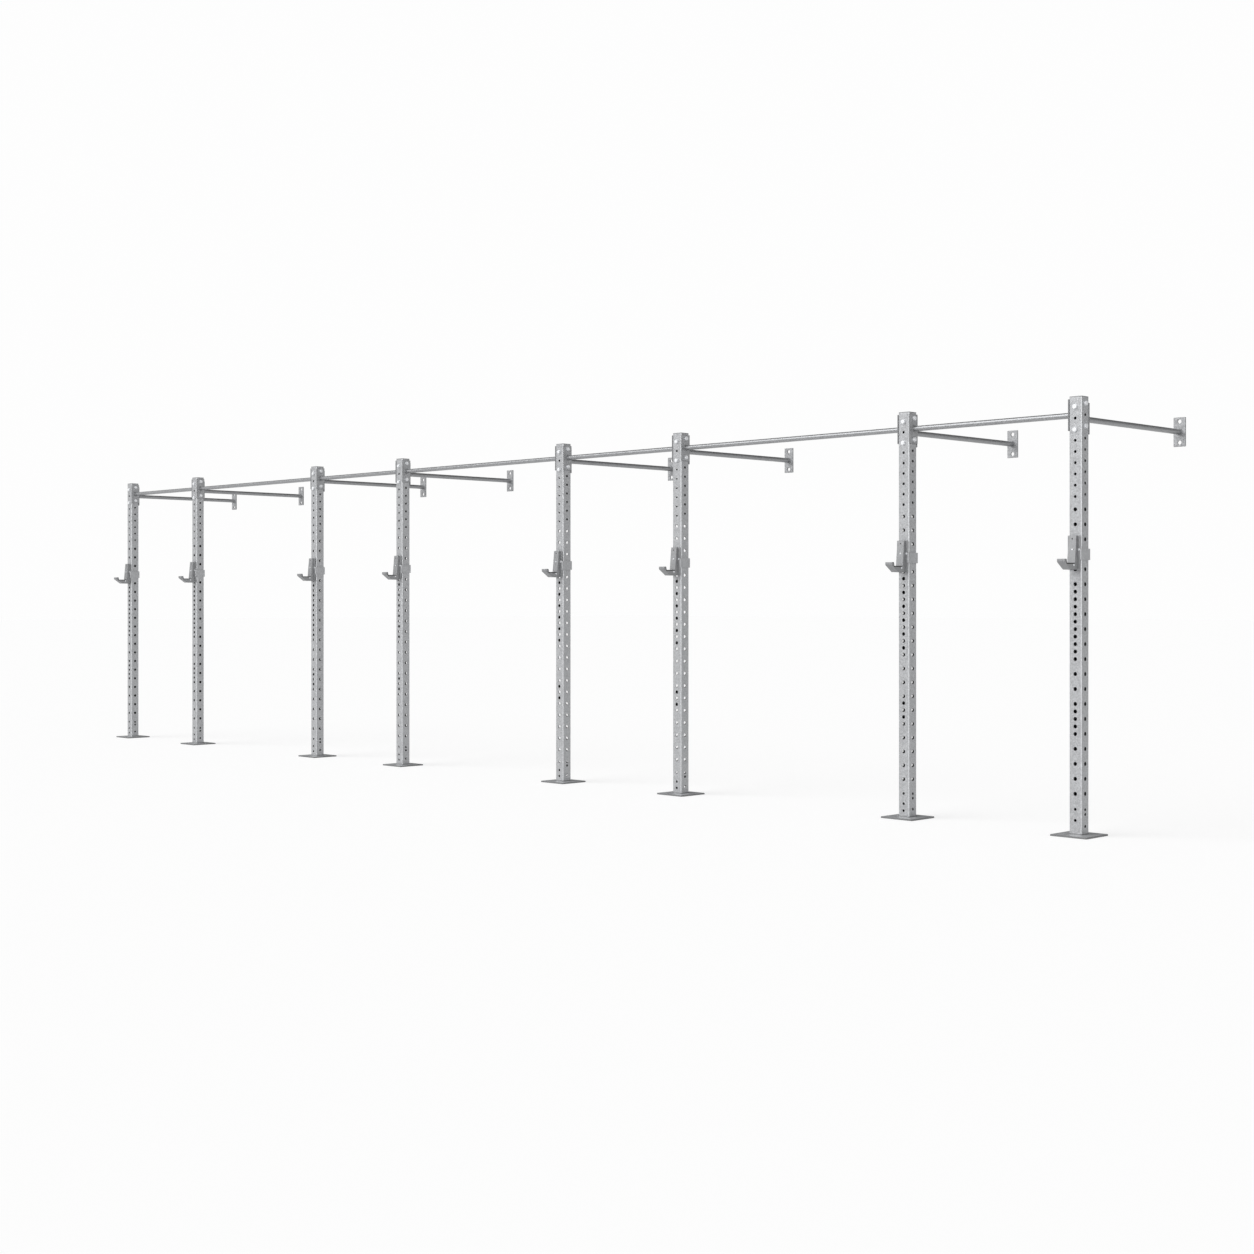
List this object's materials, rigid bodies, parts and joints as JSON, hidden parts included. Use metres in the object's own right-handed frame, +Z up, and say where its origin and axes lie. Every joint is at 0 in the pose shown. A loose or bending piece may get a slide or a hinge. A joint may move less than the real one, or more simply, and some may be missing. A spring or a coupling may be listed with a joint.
{
  "type": "outdoor fitness station",
  "caption": "Wall-braced outdoor pull-up rig: square perforated uprights in a row, pipe bars between them and sliding J-cups for a barbell.",
  "frame": {"origin": "on the floor, under the middle of the station's bounding box", "axes": "+X along the row towards upright 1, +Y towards the wall, +Z up"},
  "size_m": [10.825, 1.354, 2.5],
  "materials": {
    "galvanised_steel": "hot-dip galvanised, matt, faintly speckled",
    "liner": "dense matt plastic"
  },
  "bodies": {
    "frame": {"upright_1": "galvanised_steel", "upright_2": "galvanised_steel", "upright_3": "galvanised_steel", "upright_4": "galvanised_steel", "upright_5": "galvanised_steel", "upright_6": "galvanised_steel", "upright_7": "galvanised_steel", "upright_8": "galvanised_steel", "base_plate_1": "galvanised_steel", "base_plate_2": "galvanised_steel", "base_plate_3": "galvanised_steel", "base_plate_4": "galvanised_steel", "base_plate_5": "galvanised_steel", "base_plate_6": "galvanised_steel", "base_plate_7": "galvanised_steel", "base_plate_8": "galvanised_steel", "upright_caps": "galvanised_steel", "pull_up_bar_1": "galvanised_steel", "pull_up_bar_2": "galvanised_steel", "pull_up_bar_3": "galvanised_steel", "pull_up_bar_4": "galvanised_steel", "pull_up_bar_5": "galvanised_steel", "pull_up_bar_6": "galvanised_steel", "pull_up_bar_7": "galvanised_steel", "bar_end_plates": "galvanised_steel", "wall_arm_1": "galvanised_steel", "wall_arm_2": "galvanised_steel", "wall_arm_3": "galvanised_steel", "wall_arm_4": "galvanised_steel", "wall_arm_5": "galvanised_steel", "wall_arm_6": "galvanised_steel", "wall_arm_7": "galvanised_steel", "wall_arm_8": "galvanised_steel", "arm_end_plates": "galvanised_steel", "wall_plates": "galvanised_steel"},
    "cup_1": {"j_cup_1": "galvanised_steel", "j_cup_strap_1": "galvanised_steel", "j_cup_liner_1": "liner"},
    "cup_2": {"j_cup_2": "galvanised_steel", "j_cup_strap_2": "galvanised_steel", "j_cup_liner_2": "liner"},
    "cup_3": {"j_cup_3": "galvanised_steel", "j_cup_strap_3": "galvanised_steel", "j_cup_liner_3": "liner"},
    "cup_4": {"j_cup_4": "galvanised_steel", "j_cup_strap_4": "galvanised_steel", "j_cup_liner_4": "liner"},
    "cup_5": {"j_cup_5": "galvanised_steel", "j_cup_strap_5": "galvanised_steel", "j_cup_liner_5": "liner"},
    "cup_6": {"j_cup_6": "galvanised_steel", "j_cup_strap_6": "galvanised_steel", "j_cup_liner_6": "liner"},
    "cup_7": {"j_cup_7": "galvanised_steel", "j_cup_strap_7": "galvanised_steel", "j_cup_liner_7": "liner"},
    "cup_8": {"j_cup_8": "galvanised_steel", "j_cup_strap_8": "galvanised_steel", "j_cup_liner_8": "liner"}
  },
  "joints": [
    {"name": "cup_slide_1", "type": "slide", "parent": "frame", "child": "cup_1", "axis": [1, 0, 0], "range_m": [0, 0.0443]},
    {"name": "cup_slide_2", "type": "slide", "parent": "frame", "child": "cup_2", "axis": [1, 0, 0], "range_m": [0, 0.0443]},
    {"name": "cup_slide_3", "type": "slide", "parent": "frame", "child": "cup_3", "axis": [1, 0, 0], "range_m": [0, 0.0443]},
    {"name": "cup_slide_4", "type": "slide", "parent": "frame", "child": "cup_4", "axis": [1, 0, 0], "range_m": [0, 0.0443]},
    {"name": "cup_slide_5", "type": "slide", "parent": "frame", "child": "cup_5", "axis": [1, 0, 0], "range_m": [0, 0.0443]},
    {"name": "cup_slide_6", "type": "slide", "parent": "frame", "child": "cup_6", "axis": [1, 0, 0], "range_m": [0, 0.0443]},
    {"name": "cup_slide_7", "type": "slide", "parent": "frame", "child": "cup_7", "axis": [1, 0, 0], "range_m": [0, 0.0443]},
    {"name": "cup_slide_8", "type": "slide", "parent": "frame", "child": "cup_8", "axis": [1, 0, 0], "range_m": [0, 0.0443]}
  ]
}
